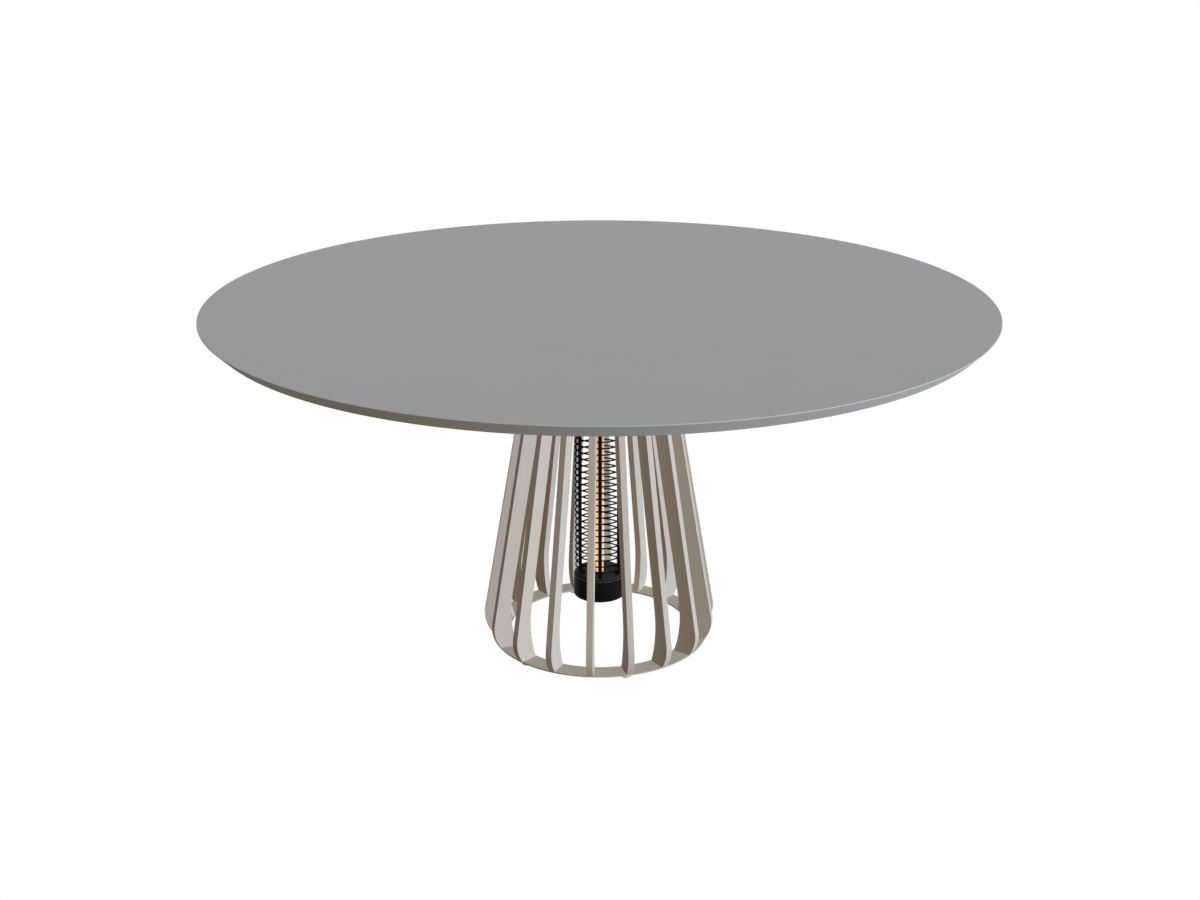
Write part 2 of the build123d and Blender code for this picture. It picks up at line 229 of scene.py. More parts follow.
# Surfaces
def rounded(corners, steps=5):
    """Profile through (radius, height, fillet) corners.

    Each fillet is an arc tangent to both sides of its corner, swept by turning the spoke from its centre.
    A point just before and just after it keeps the flats flat.
    """
    corner = np.array(corners, float)
    found = [corner[:1, :2]]
    for before, here, after in zip(corner[:-2], corner[1:-1], corner[2:]):
        spot, fillet = here[:2], here[2]
        if fillet == 0:
            found.append(spot[None])
            continue
        to_before = (before[:2] - spot) / np.linalg.norm(before[:2] - spot)
        to_after = (after[:2] - spot) / np.linalg.norm(after[:2] - spot)
        half = np.arccos(np.clip(to_before @ to_after, -1, 1)) / 2
        reach = fillet / np.tan(half)
        middle = to_before + to_after
        centre = spot + middle / np.linalg.norm(middle) * fillet / np.sin(half)
        first = spot + to_before * reach - centre
        last = spot + to_after * reach - centre
        swing = pi - 2 * half
        share = np.linspace(0, 1, steps)[:, None]
        arc = centre + (np.sin((1 - share) * swing) * first + np.sin(share * swing) * last) / np.sin(swing)
        hold = 0.5 * fillet
        found += [(arc[0] + to_before * hold)[None], arc, (arc[-1] + to_after * hold)[None]]
    return np.concatenate(found + [corner[-1:, :2]])


def polar(radius, turn, height):
    """Grid of points about the axis: x and y are the radius times the cosine and sine of the turn."""
    return np.stack(np.broadcast_arrays(radius * np.cos(turn), radius * np.sin(turn), height), axis=-1)


def turned(profile, columns):
    """Grid of a profile of (radius, height) points carried round the axis in even turns."""
    turn = np.linspace(0, 2 * pi, columns, endpoint=False)
    return polar(profile[:, :1], turn, profile[:, 1:])


def placed(rows, radius, bearing):
    """Grid moved out from the axis to a radius, along a bearing."""
    return rows + np.array([radius * np.cos(bearing), radius * np.sin(bearing), 0.0])


def shell(rows, ends="points", edge=None):
    """Closed skin over a grid of points, wrapped along its columns.

    ends "points" closes the first and last row on their middle points. "wrap" joins the last to the first.
    """
    count, columns = rows.shape[:2]
    index = np.arange(count * columns).reshape(count, columns)
    low, high = (index, np.roll(index, -1, 0)) if ends == "wrap" else (index[:-1], index[1:])
    quads = np.stack([low, np.roll(low, -1, 1), np.roll(high, -1, 1), high], -1).reshape(-1, 4)
    points = rows.reshape(-1, 3)
    wear_and_highlight = np.zeros(len(points)) if edge is None else np.broadcast_to(edge, rows.shape[:2]).reshape(-1)
    fans = np.zeros((0, 3), int)
    if ends == "points":
        first, last = np.full(columns, len(points)), np.full(columns, len(points) + 1)
        fans = np.concatenate([
            np.stack([np.roll(index[0], -1), index[0], first], -1),
            np.stack([index[-1], np.roll(index[-1], -1), last], -1),
        ])
        points = np.concatenate([points, rows[:1].mean(1), rows[-1:].mean(1)])
        wear_and_highlight = np.concatenate([wear_and_highlight, [0, 0]])
    # A skin whose corners add up to a negative volume is inside out, so its faces are turned round.
    tris = np.concatenate([quads[:, [0, 1, 2]], quads[:, [0, 2, 3]], fans])
    one, two, three = points[tris[:, 0]], points[tris[:, 1]], points[tris[:, 2]]
    if np.einsum("ij,ij->i", one, np.cross(two, three)).sum() < 0:
        quads, fans = quads[:, ::-1], fans[:, ::-1]
    return points, quads, fans, wear_and_highlight


def piece(name, shells, body, material, replaced=(), crease=38):
    """Mesh object from closed skins, with a point attribute that marks its rounded edges."""
    start = np.cumsum([0] + [len(skin[0]) for skin in shells])
    points = np.concatenate([skin[0] for skin in shells])
    quads = np.concatenate([skin[1] + shift for skin, shift in zip(shells, start)])
    fans = np.concatenate([skin[2] + shift for skin, shift in zip(shells, start)])
    mesh = bpy.data.meshes.new(name)
    mesh.from_pydata(points, [], quads.tolist() + fans.tolist())
    mesh.polygons.foreach_set("use_smooth", np.ones(len(mesh.polygons), bool))
    mark = mesh.attributes.new("edge", "FLOAT", "POINT")
    mark.data.foreach_set("value", np.concatenate([skin[3] for skin in shells]).astype(np.float32))
    mesh.set_sharp_from_angle(angle=radians(crease))
    mesh.materials.append(material)
    made = bpy.data.objects.new(name, mesh)
    scene.collection.objects.link(made)
    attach(made, body)
    for node in replaced:
        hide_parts(node)
    return made


# Shader parts
def add(tree, kind, inputs=None, **settings):
    """Node of a kind, with its settings and its inputs given as values or as sockets to link.

    A Mix node's inputs go by number: 0 is the share, 2 and 3 are its two values, 6 and 7 its two colours.
    """
    made = tree.nodes.new(kind)
    for key, value in settings.items():
        setattr(made, key, value)
    for key, value in (inputs or {}).items():
        if isinstance(value, bpy.types.NodeSocket):
            tree.links.new(value, made.inputs[key])
        else:
            made.inputs[key].default_value = value
    return made


def maths(tree, operation, *terms):
    """Result of a sum on values or sockets."""
    return add(tree, "ShaderNodeMath", dict(enumerate(terms)), operation=operation).outputs[0]


def place_on(tree):
    """Place on the piece in its mesh's coordinates. Pieces made here have theirs in the shared frame."""
    return add(tree, "ShaderNodeTexCoord").outputs["Object"]


def noise(tree, place, scale, detail):
    """Noise from 0 to 1 at each place."""
    return add(tree, "ShaderNodeTexNoise", {"Vector": place, "Scale": scale, "Detail": detail}).outputs[0]


def soft_step(tree, value, span, levels):
    """Smooth rise from the first level to the second as a value crosses a span."""
    inputs = {
        "Value": value,
        "From Min": span[0],
        "From Max": span[1],
        "To Min": levels[0],
        "To Max": levels[1],
    }
    return add(tree, "ShaderNodeMapRange", inputs, interpolation_type="SMOOTHSTEP").outputs[0]


def effect(name, inputs, outputs):
    """Empty shader node group with named inputs (kind and usual value) and outputs."""
    tree = bpy.data.node_groups.new(name, "ShaderNodeTree")
    for label, (kind, value) in inputs.items():
        tree.interface.new_socket(label, in_out="INPUT", socket_type=kind).default_value = value
    for label, kind in outputs.items():
        tree.interface.new_socket(label, in_out="OUTPUT", socket_type=kind)
    return tree, tree.nodes.new("NodeGroupInput").outputs, tree.nodes.new("NodeGroupOutput").inputs


def tone_drift_effect():
    """Colour times one plus twice a depth times a slow noise about zero, so that no tone is flat."""
    tree, given, result = effect(
        "tone_drift",
        {
            "Color": ("NodeSocketColor", (0.5, 0.5, 0.5, 1)),
            "Scale": ("NodeSocketFloat", 6.0),
            "Depth": ("NodeSocketFloat", 0.04),
        },
        {"Color": "NodeSocketColor"},
    )
    slow = noise(tree, place_on(tree), given["Scale"], 4.0)
    swing = maths(tree, "SUBTRACT", slow, 0.5)
    scaled = maths(tree, "MULTIPLY", swing, given["Depth"])
    gain = maths(tree, "MULTIPLY_ADD", scaled, 2.0, 1.0)
    toned = add(tree, "ShaderNodeVectorMath", {0: given["Color"]}, operation="SCALE")
    tree.links.new(gain, toned.inputs["Scale"])
    tree.links.new(toned.outputs[0], result["Color"])
    return tree


def grain_effect():
    """Height from a coarse and a fine noise, mixed by a share, for coats, laminate and moulded skins."""
    tree, given, result = effect(
        "grain",
        {
            "Scale": ("NodeSocketFloat", 400.0),
            "Fine Scale": ("NodeSocketFloat", 1600.0),
            "Fine Share": ("NodeSocketFloat", 0.5),
        },
        {"Height": "NodeSocketFloat"},
    )
    place = place_on(tree)
    coarse = noise(tree, place, given["Scale"], 2.0)
    fine = noise(tree, place, given["Fine Scale"], 2.0)
    blend = add(tree, "ShaderNodeMix", {0: given["Fine Share"], 2: coarse, 3: fine})
    tree.links.new(blend.outputs[0], result["Height"])
    return tree


def gloss_patch_effect():
    """Roughness about a middle value, swung by a noise of its own."""
    tree, given, result = effect(
        "gloss_patch",
        {
            "Middle": ("NodeSocketFloat", 0.5),
            "Swing": ("NodeSocketFloat", 0.08),
            "Scale": ("NodeSocketFloat", 14.0),
        },
        {"Roughness": "NodeSocketFloat"},
    )
    patch = noise(tree, place_on(tree), given["Scale"], 5.0)
    about = maths(tree, "SUBTRACT", patch, 0.5)
    twice = maths(tree, "MULTIPLY", about, 2.0)
    level = maths(tree, "MULTIPLY_ADD", twice, given["Swing"], given["Middle"])
    tree.links.new(level, result["Roughness"])
    return tree


def edge_rub_and_highlight_effect():
    """Mask of lighter edges, rubbed wear on some finishes and a painted highlight on others: the edge
    attribute, broken up by a noise and pushed to a soft step.
    """
    tree, given, result = effect(
        "edge_rub_and_highlight",
        {"Scale": ("NodeSocketFloat", 60.0), "Reach": ("NodeSocketFloat", 0.5)},
        {"Mask": "NodeSocketFloat"},
    )
    mark = add(tree, "ShaderNodeAttribute", attribute_name="edge").outputs["Fac"]
    broken = noise(tree, place_on(tree), given["Scale"], 6.0)
    met = maths(tree, "MULTIPLY", mark, broken)
    tree.links.new(soft_step(tree, met, RUB_AND_HIGHLIGHT_STEP, (0.0, given["Reach"])), result["Mask"])
    return tree


TONE_DRIFT = tone_drift_effect()
GRAIN = grain_effect()
GLOSS_PATCH = gloss_patch_effect()
EDGE_RUB_AND_HIGHLIGHT = edge_rub_and_highlight_effect()


def use(tree, group, inputs):
    """Result of a shader node group placed in a material with its own values."""
    made = tree.nodes.new("ShaderNodeGroup")
    made.node_tree = group
    for key, value in inputs.items():
        made.inputs[key].default_value = value
    return made.outputs[0]


def new_material(name):
    """Material with its node tree and its Principled shader."""
    made = bpy.data.materials.new(name)
    made.use_nodes = True
    return made, made.node_tree, made.node_tree.nodes["Principled BSDF"]


def finish_of(name, color, tone, gloss, grain, bump, rub_and_highlight=None, worn_and_highlit=None, plain=None):
    """Material: drifting colour, patchy gloss and fine grain on one Principled shader.

    tone, gloss, grain and rub_and_highlight hold the inputs of their node groups, and bump those of the Bump
    node.
    worn_and_highlit is the colour of the marked edges: rubbed wear on the zinc, a painted highlight on the
    heater's rims, both on the slats and a paler rim on the top. plain holds values set on the shader's own
    sockets.
    """
    made, tree, skin = new_material(name)
    base = use(tree, TONE_DRIFT, {"Color": (*color, 1), **tone})
    if rub_and_highlight:
        mask = use(tree, EDGE_RUB_AND_HIGHLIGHT, rub_and_highlight)
        base = add(tree, "ShaderNodeMix", {0: mask, 6: base, 7: (*worn_and_highlit, 1)}, data_type="RGBA").outputs[2]
    tree.links.new(base, skin.inputs["Base Color"])
    tree.links.new(use(tree, GLOSS_PATCH, gloss), skin.inputs["Roughness"])
    raised = add(tree, "ShaderNodeBump", {"Height": use(tree, GRAIN, grain), **bump})
    tree.links.new(raised.outputs[0], skin.inputs["Normal"])
    for key, value in (plain or {}).items():
        skin.inputs[key].default_value = value
    return made


# Finishes
POWDER_COAT = {
    "tone": {"Scale": 7, "Depth": 0.03},
    "gloss": {"Middle": 0.66, "Swing": 0.05, "Scale": 22},
    "grain": {"Scale": 700, "Fine Scale": 2400, "Fine Share": 0.5},
    "bump": {"Strength": 0.12, "Distance": 0.0002},
    "plain": {"Specular IOR Level": 0.05},
}
# On the heater's black paint the lighter rims are a painted highlight.
BLACK_PAINT = {
    "tone": {"Scale": 24, "Depth": 0.20},
    "gloss": {"Middle": 0.42, "Swing": 0.05, "Scale": 40},
    "grain": {"Scale": 900, "Fine Scale": 2600, "Fine Share": 0.5},
    "bump": {"Strength": 0.15, "Distance": 0.0002},
    "rub_and_highlight": {"Scale": 120, "Reach": 0.8},
    "plain": {"Specular IOR Level": 0.025},
}
SMALL_GRAIN = {"Scale": 900, "Fine Scale": 2600, "Fine Share": 0.5}

laminate = finish_of(
    "top_laminate", (0.28, 0.28, 0.27),
    tone={"Scale": 5, "Depth": 0.012},
    gloss={"Middle": 0.66, "Swing": 0.03, "Scale": 9},
    grain={"Scale": 300, "Fine Scale": 900, "Fine Share": 0.5},
    bump={"Strength": 0.02, "Distance": 0.0001},
    rub_and_highlight={"Scale": 40, "Reach": 0.4},
    worn_and_highlit=(0.30, 0.30, 0.29),
    plain={"Specular IOR Level": 0.05},
)
# The taupe coat: lighter along the slats' rounded edges, as rubbed coat and as a painted highlight.
coat = finish_of(
    "taupe_coat", (0.300, 0.277, 0.243), **POWDER_COAT,
    rub_and_highlight={"Scale": 70, "Reach": 0.6},
    worn_and_highlit=(0.37, 0.347, 0.315),
)
# The floor ring's coat: the taupe coat darkened, which is painted shade on the ring lying under the table.
ring_coat_painted_shade = finish_of("ring_coat_painted_shade", (0.268, 0.246, 0.206), **POWDER_COAT)
zinc = finish_of(
    "zinc", (0.60, 0.60, 0.61),
    tone={"Scale": 60, "Depth": 0.10},
    gloss={"Middle": 0.38, "Swing": 0.10, "Scale": 120},
    grain={"Scale": 900, "Fine Scale": 3000, "Fine Share": 0.5},
    bump={"Strength": 0.25, "Distance": 0.0003},
    rub_and_highlight={"Scale": 200, "Reach": 0.6},
    worn_and_highlit=(0.72, 0.72, 0.72),
    plain={"Metallic": 1.0},
)
pad_nylon = finish_of(
    "pad_nylon", (0.40, 0.395, 0.375),
    tone={"Scale": 40, "Depth": 0.05},
    gloss={"Middle": 0.56, "Swing": 0.06, "Scale": 60},
    grain={"Scale": 500, "Fine Scale": 2500, "Fine Share": 0.5},
    bump={"Strength": 0.20, "Distance": 0.0004},
    plain={"Specular IOR Level": 0.2},
)
# Drums: black paint, with a painted highlight along their rims.
heater_paint = finish_of("heater_black", (0.0025, 0.0027, 0.0030), **BLACK_PAINT, worn_and_highlit=(0.03, 0.03, 0.03))
# Lids: the same black paint made lighter, a painted sheen standing in for the reflection on their faces, with
# a brighter painted highlight on their rims.
lid_paint_painted_sheen = finish_of("lid_black_painted_sheen", (0.010, 0.0103, 0.0107), **BLACK_PAINT, worn_and_highlit=(0.045, 0.045, 0.045))
cage_paint = finish_of(
    "cage_black", (0.0014, 0.0014, 0.0014),
    tone={"Scale": 40, "Depth": 0.25},
    gloss={"Middle": 0.60, "Swing": 0.08, "Scale": 60},
    grain={"Scale": 1200, "Fine Scale": 3000, "Fine Share": 0.5},
    bump={"Strength": 0.25, "Distance": 0.0003},
    plain={"Specular IOR Level": 0.012},
)
ceramic = finish_of(
    "white_ceramic", (0.78, 0.76, 0.70),
    tone={"Scale": 60, "Depth": 0.06},
    gloss={"Middle": 0.62, "Swing": 0.08, "Scale": 80},
    grain=SMALL_GRAIN,
    bump={"Strength": 0.30, "Distance": 0.0004},
)
terminal = finish_of(
    "terminal_nylon", (0.74, 0.74, 0.71),
    tone={"Scale": 60, "Depth": 0.05},
    gloss={"Middle": 0.48, "Swing": 0.06, "Scale": 80},
    grain=SMALL_GRAIN,
    bump={"Strength": 0.2, "Distance": 0.0003},
)
gland = finish_of(
    "gland_nylon", (0.020, 0.020, 0.021),
    tone={"Scale": 60, "Depth": 0.20},
    gloss={"Middle": 0.48, "Swing": 0.07, "Scale": 80},
    grain=SMALL_GRAIN,
    bump={"Strength": 0.25, "Distance": 0.0003},
)
# Clear fused quartz, faintly uneven.
quartz = finish_of(
    "quartz", (0.99, 0.96, 0.92),
    tone={"Scale": 30, "Depth": 0.02},
    gloss={"Middle": 0.05, "Swing": 0.02, "Scale": 40},
    grain={"Scale": 160, "Fine Scale": 900, "Fine Share": 0.3},
    bump={"Strength": 0.05, "Distance": 0.0003},
    plain={"Transmission Weight": 1.0, "IOR": 1.04},
)

# The glow's colour at shares of the tube's height, and the noise that shifts it.
GLOW_SHIFT = 0.12
GLOW_SHIFT_SCALE = 90.0
GLOW = (
    (0.02, (0.90, 0.33, 0.08, 1)),
    (0.12, (0.96, 0.49, 0.17, 1)),
    (0.24, (0.97, 0.57, 0.23, 1)),
    (0.40, (0.88, 0.47, 0.18, 1)),
    (0.66, (0.72, 0.34, 0.12, 1)),
    (1.00, (0.66, 0.27, 0.09, 1)),
)


def glow_finish():
    """Glowing carbon: brightest about a fifth of the way up, deeper orange towards both ends."""
    made, tree, skin = new_material("hot_carbon")
    place = place_on(tree)
    height = add(tree, "ShaderNodeSeparateXYZ", {0: place}).outputs["Z"]
    along = add(tree, "ShaderNodeMapRange", {"Value": height, "From Min": TUBE_Z[0], "From Max": TUBE_Z[1]})
    uneven = noise(tree, place, GLOW_SHIFT_SCALE, 3.0)
    shifted = maths(tree, "MULTIPLY_ADD", uneven, GLOW_SHIFT, along.outputs[0])
    ramp = add(tree, "ShaderNodeValToRGB", {0: shifted})
    stops = ramp.color_ramp.elements
    stops[0].position, stops[0].color = GLOW[0]
    stops[1].position, stops[1].color = GLOW[-1]
    for share, tint in GLOW[1:-1]:
        stops.new(share).color = tint
    tree.links.new(ramp.outputs[0], skin.inputs["Emission Color"])
    skin.inputs["Emission Strength"].default_value = 1.0
    skin.inputs["Base Color"].default_value = (0.05, 0.04, 0.035, 1)
    skin.inputs["Roughness"].default_value = 0.8
    return made


glow = glow_finish()

FINISHES = {
    "top_laminate": laminate,
    "taupe_coat": coat,
    "zinc": zinc,
    "pad_nylon": pad_nylon,
    "heater_black": heater_paint,
    "cage_black": cage_paint,
    "quartz": quartz,
    "hot_carbon": glow,
    "white_ceramic": ceramic,
    "terminal_nylon": terminal,
    "gland_nylon": gland,
}
# The floor ring takes the darkened copy of the taupe coat, a painted shade.
for row in frame["record"]["subparts"]:
    slots = nodes[row["node"]].data.materials
    slots.clear()
    slots.append(ring_coat_painted_shade if row["node"] == "floor_ring" else FINISHES[row["material_slot"]])


# Table top
def table_top():
    """Disc turned from its half section: flat face, arris, narrow land, undercut bevel, flat underside."""
    low, land = TABLE_H - TOP_T, TABLE_H - TOP_LAND
    profile = rounded([
        (TOP_POLE_R, TABLE_H, 0),
        (TOP_R, TABLE_H, TOP_ARRIS_R),
        (TOP_R, land, TOP_LAND_EDGE_R),
        (TOP_R - TOP_BEVEL_W, low, TOP_UNDER_EDGE_R),
        (TOP_POLE_R, low, 0),
    ], steps=6)
    # Marks a paler band along the arris and the land.
    rim = np.hypot(profile[:, 0] - TOP_R, profile[:, 1] - TABLE_H) < TOP_PALE_RIM_REACH
    return shell(turned(profile, TOP_COLUMNS), edge=rim[:, None].astype(float))


piece("top_disc", [table_top()], "table", laminate, ["table_top"])


# Slats
def edge_line(side, height):
    """Radius of a slat's inner (0) or outer (1) edge at each height.

    A straight line falls from the plate to the bend. Below it runs an arc that starts along that line and
    ends at the foot: its centre is square to the line, as far off as makes the arc meet the foot.
    """
    top = np.array([SLAT_TOP_R[side], PLATE_Z])
    bend = np.array([SLAT_BEND_R[side], SLAT_BEND_Z[side]])
    foot = np.array([SLAT_FOOT_R[side], SLAT_Z])
    along = (bend - top) / np.linalg.norm(bend - top)
    square = np.array([along[1], -along[0]])
    offset = (foot - bend) @ (foot - bend) / (2 * square @ (foot - bend))
    centre = bend + offset * square
    line = bend[0] + (height - bend[1]) * along[0] / along[1]
    arc = centre[0] + np.sqrt(np.maximum(offset**2 - (height - centre[1]) ** 2, 0))
    return np.where(height >= bend[1], line, arc)


def slat(bearing):
    """Level rounded rectangles between the two edge lines, stacked from the ring up to the plate."""
    height = np.concatenate([
        np.linspace(SLAT_Z, SLAT_CURVE_TOP_Z, SLAT_CURVE_ROWS),
        np.linspace(SLAT_STRAIGHT_Z, PLATE_Z, SLAT_STRAIGHT_ROWS),
    ])
    inner, outer = edge_line(0, height)[:, None], edge_line(1, height)[:, None]
    turn = np.linspace(0, pi / 2, SLAT_EDGE_STEPS)
    side = SLAT_T / 2
    # One corner, as distance in from the edge line and distance in from the face.
    inset = np.concatenate([[SLAT_EDGE_R + SLAT_EDGE_HOLD], SLAT_EDGE_R * (1 - np.sin(turn)), [0.0]])
    sunk = np.concatenate([[0.0], SLAT_EDGE_R * (1 - np.cos(turn)), [SLAT_EDGE_R + SLAT_EDGE_HOLD]])
    # Marks for the lighter rounded corners, strongest at the middle of each arc: rubbed coat and painted
    # highlight.
    rub_and_highlight = np.sqrt(np.abs(np.sin(2 * turn))) * (1 - SLAT_EDGE_RUB_AND_HIGHLIGHT) + SLAT_EDGE_RUB_AND_HIGHLIGHT
    mark = np.concatenate([[0.0], rub_and_highlight, [0.0]])
    radial = np.concatenate([outer - inset, outer - inset[::-1], inner + inset, inner + inset[::-1]], axis=1)
    level = np.concatenate([side - sunk, sunk[::-1] - side, sunk - side, side - sunk[::-1]])
    x = radial * np.cos(bearing) - level * np.sin(bearing)
    y = radial * np.sin(bearing) + level * np.cos(bearing)
    rows = np.stack([x, y, np.broadcast_to(height[:, None], x.shape)], axis=-1)
    return shell(rows, edge=np.tile(mark, 4)[None])


for i, bearing in enumerate(SLAT_BEARINGS):
    piece(f"slat_blade_{i + 1:02d}", [slat(bearing)], "table", coat, [f"slat_{i + 1:02d}"])


# Levelling feet
def pad():
    """Moulded glide turned from its half section: crowned rim above, rounded sole below."""
    return turned(rounded([
        (POLE_R, 0.0, 0),
        (PAD_R, 0.0, PAD_SOLE_EDGE_R),
        (PAD_R, PAD_H, PAD_RIM_EDGE_R),
        (POLE_R, PAD_H, 0),
    ], steps=7), PAD_COLUMNS)


def hexagon_block(flats, low, high, chamfer):
    """Hexagon whose radius at each turn is the lesser of its flats' and of a cone that cuts its corners."""
    turn = np.linspace(0, 2 * pi, HEXAGON_COLUMNS, endpoint=False)
    to_flats = flats / 2 / np.cos((turn + pi / 6) % (pi / 3) - pi / 6)
    corner = flats / 2 / np.cos(pi / 6)
    pole, cut = corner * HEXAGON_POLE_SHARE, corner - CHAMFER_RUN * chamfer
    height = np.array([low, low, low + chamfer, high - chamfer, high, high])
    cone = np.array([pole, cut, corner, corner, cut, pole])
    return polar(np.minimum(to_flats[None], cone[:, None]), turn, height[:, None])


def threaded_rod(radius, low, high, pitch, depth):
    """Rod whose radius dips by a triangle wave of height less turn, so that the dip climbs one pitch a turn.

    The last pitch dips further, up to a limit, so that the tip tapers.
    """
    turn = np.linspace(0, 2 * pi, THREAD_COLUMNS, endpoint=False)
    height = np.linspace(low, high, int((high - low) / pitch * THREAD_ROWS))[:, None]
    phase = (height / pitch - turn / (2 * pi)) % 1.0
    dip = depth * np.abs(2 * phase - 1)
    dip = dip + np.clip((height - high + pitch) / pitch, 0, 1) * depth
    return polar(radius - np.minimum(dip, THREAD_DEEPEST * depth), turn, height)


collar = hexagon_block(COLLAR_FLATS, PAD_H, RING_Z, COLLAR_CHAMFER)
stem = threaded_rod(STEM_R, PAD_H - STEM_SINK, STEM_TOP_Z, STEM_PITCH, STEM_THREAD)
for i, bearing in enumerate(FOOT_BEARINGS):
    body = f"foot_{i + 1}"
    sole, nut, rod = (shell(placed(rows, FOOT_CIRCLE_R, bearing)) for rows in (pad(), collar, stem))
    piece(f"glide_{i + 1}", [sole], body, pad_nylon, [f"foot_pad_{i + 1}"])
    piece(f"screw_stem_{i + 1}", [nut, rod], body, zinc, [f"foot_stem_{i + 1}"])


# Heater drums and lids
def drum_section(flip_at=None):
    """Half section of a pressed cup: rounded base edge, straight wall, open mouth.

    It stands on LOWER_Z, or hangs upside down from flip_at.
    """
    inner = DRUM_R - DRUM_WALL
    section = rounded([
        (POLE_R, 0, 0),
        (DRUM_R, 0, DRUM_BASE_EDGE_R),
        (DRUM_R, DRUM_H, DRUM_MOUTH_EDGE_R),
        (inner, DRUM_H, DRUM_MOUTH_EDGE_R),
        (inner, DRUM_FLOOR, DRUM_INSIDE_EDGE_R),
        (POLE_R, DRUM_FLOOR, 0),
    ], steps=7)
    return section * [1, -1] + [0, flip_at] if flip_at else section + [0, LOWER_Z]


def lid_section(rim, way):
    """Half section of a stepped lid whose flange lies on a rim: way 1 rises from it, way -1 hangs from it."""
    spigot = DRUM_R - DRUM_WALL - SPIGOT_GAP
    middle, under = LID_H - LID_T / 2, LID_H - LID_T
    section = rounded([
        (LID_BORE_R, middle, 0),
        (LID_BORE_R, LID_H, LID_BORE_EDGE_R),
        (LID_FACE_R - LID_FACE_TAPER, LID_H, LID_FACE_EDGE_R),
        (LID_FACE_R, LID_T, LID_STEP_EDGE_R),
        (DRUM_R, LID_T, LID_FLANGE_EDGE_R),
        (DRUM_R, 0.0, LID_RIM_EDGE_R),
        (spigot, 0.0, 0),
        (spigot, -SPIGOT_H, 0),
        (spigot - SPIGOT_T, -SPIGOT_H, 0),
        (spigot - SPIGOT_T, 0.0, 0),
        (LID_INSIDE_R, 0.0, 0),
        (LID_INSIDE_R, under, 0),
        (LID_BORE_R, under, 0),
        (LID_BORE_R, middle, 0),
    ], steps=5)[:-1]
    return section * [1, way] + [0, rim]


def rim_highlight_marks(section, outer):
    """Painted highlight marks for the rounded corners near the radius given: points whose neighbours both lie
    close by.
    """
    step = np.linalg.norm(np.diff(section, axis=0, append=section[:1]), axis=1)
    close = np.maximum(step, np.roll(step, 1)) < ROUND_STEP
    near = np.clip(1 - np.abs(section[:, 0] - outer) / RIM_HIGHLIGHT_REACH, 0, 1)
    return (close * near)[:, None]


def heater_turning(name, section, ends, paint, node):
    """Drum or lid turned from its half section, with its outer rounded edges marked for a painted highlight.
    """
    skin = shell(turned(section, DRUM_COLUMNS), ends=ends, edge=rim_highlight_marks(section, DRUM_R))
    piece(name, [skin], "table", paint, [node])


heater_turning("drum_low", drum_section(), "points", heater_paint, "lower_drum")
heater_turning("drum_high", drum_section(UPPER_TOP_Z), "points", heater_paint, "upper_drum")
heater_turning("lid_low", lid_section(LOWER_RIM_Z, 1), "wrap", lid_paint_painted_sheen, "lower_lid")
heater_turning("lid_high", lid_section(UPPER_RIM_Z, -1), "wrap", lid_paint_painted_sheen, "upper_lid")


# Cage
def wire_ring(height):
    """Torus: a wire circle carried round the cage at one height."""
    round_wire = np.linspace(0, 2 * pi, WIRE_SIDES, endpoint=False)
    section = np.stack([WIRE_PATH_R + WIRE_R * np.cos(round_wire), height + WIRE_R * np.sin(round_wire)], -1)
    return shell(turned(section, WIRE_COLUMNS), ends="wrap")


wires = [wire_ring(height) for height in CAGE_Z + RING_PITCH * (1 + np.arange(RING_COUNT))]
piece("cage_wires", wires, "table", cage_paint, ["cage_rings"], crease=80)


# Lamp
def quartz_tube():
    """Tube turned from a closed section, outer wall up and inner wall down."""
    low, high = TUBE_Z
    inner = LAMP_R - LAMP_WALL
    outside = np.stack([np.full(TUBE_ROWS, LAMP_R), np.linspace(low, high, TUBE_ROWS)], -1)
    inside = np.stack([np.full(TUBE_ROWS, inner), np.linspace(high, low, TUBE_ROWS)], -1)
    return shell(turned(np.concatenate([outside, inside]), TUBE_COLUMNS), ends="wrap")


def carbon_coil():
    """Ribbon wound on a helix: a flat oval section carried up a circle that climbs one pitch a turn."""
    low, high = TUBE_Z[0] + COIL_END, TUBE_Z[1] - COIL_END
    turns = (high - low) / COIL_PITCH
    along = np.linspace(0, turns, int(turns * COIL_STEPS))[:, None]
    round_oval = np.linspace(0, 2 * pi, COIL_SIDES, endpoint=False)[None]
    radius = COIL_R + COIL_HALF_T * np.cos(round_oval)
    height = np.clip(low + COIL_PITCH * along + COIL_HALF_W * np.sin(round_oval), low, high)
    return shell(polar(radius, 2 * pi * along, height))


def lead_pin(low, high):
    """Straight pin, turned, with rounded ends."""
    return shell(turned(rounded([
        (PIN_POLE_R, low, 0),
        (PIN_R, low, PIN_EDGE_R),
        (PIN_R, high, PIN_EDGE_R),
        (PIN_POLE_R, high, 0),
    ]), PIN_COLUMNS))


low_pin = lead_pin(TUBE_Z[0] + PIN_START, TUBE_Z[0] + PIN_END)
high_pin = lead_pin(TUBE_Z[1] - PIN_END, TUBE_Z[1] - PIN_START)
piece("lamp_tube", [quartz_tube()], "table", quartz, ["quartz_tube"])
piece("lamp_coil", [carbon_coil(), low_pin, high_pin], "table", glow, ["heating_element"])


# Screws
def washer(radius, bore, low, thick):
    """Flat ring turned from a closed rounded section."""
    middle, high, edge = low + thick / 2, low + thick, thick / 5
    section = rounded([
        (bore, middle, 0),
        (bore, low, edge),
        (radius, low, edge),
        (radius, high, edge),
        (bore, high, edge),
        (bore, middle, 0),
    ], steps=3)[:-1]
    return turned(section, WASHER_COLUMNS)


